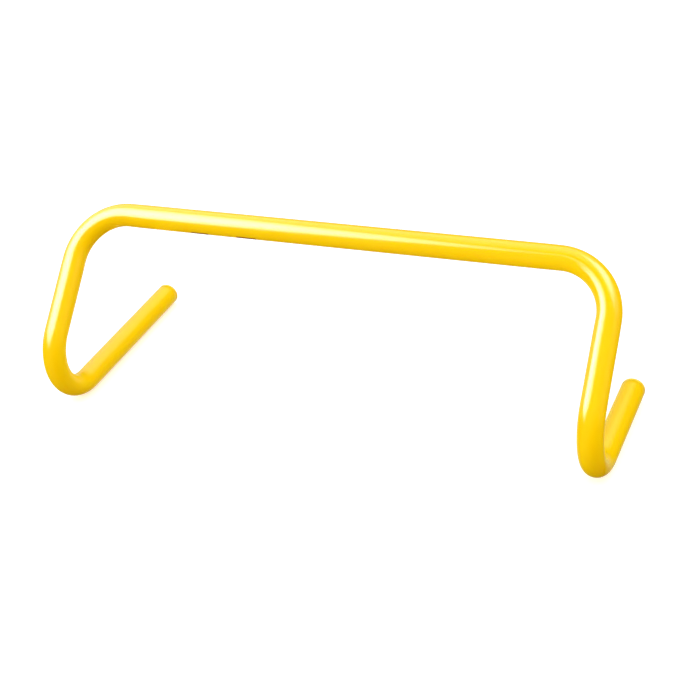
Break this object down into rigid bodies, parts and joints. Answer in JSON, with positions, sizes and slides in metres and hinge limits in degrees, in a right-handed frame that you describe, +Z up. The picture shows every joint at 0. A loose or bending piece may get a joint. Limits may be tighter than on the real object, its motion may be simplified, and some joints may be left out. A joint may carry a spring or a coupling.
{
  "type": "agility hurdle",
  "caption": "Low one-piece hurdle bent from round plastic tube: a straight crossbar on leaning legs that fold back into feet, with a flush plug in each open end.",
  "frame": {"origin": "on the floor, under the centre of the hurdle's overall box", "axes": "+X along the crossbar, +Y the way the feet point, +Z up; the long foot is on the -X side"},
  "size_m": [0.466, 0.189, 0.1524],
  "materials": {
    "tube_plastic": "yellow extruded PVC tube, glossy with faint draw lines",
    "plug_plastic": "yellow moulded polyethylene, satin"
  },
  "bodies": {
    "root": {"hurdle_tube": "tube_plastic", "end_plug_left": "plug_plastic", "end_plug_right": "plug_plastic"}
  },
  "joints": []
}
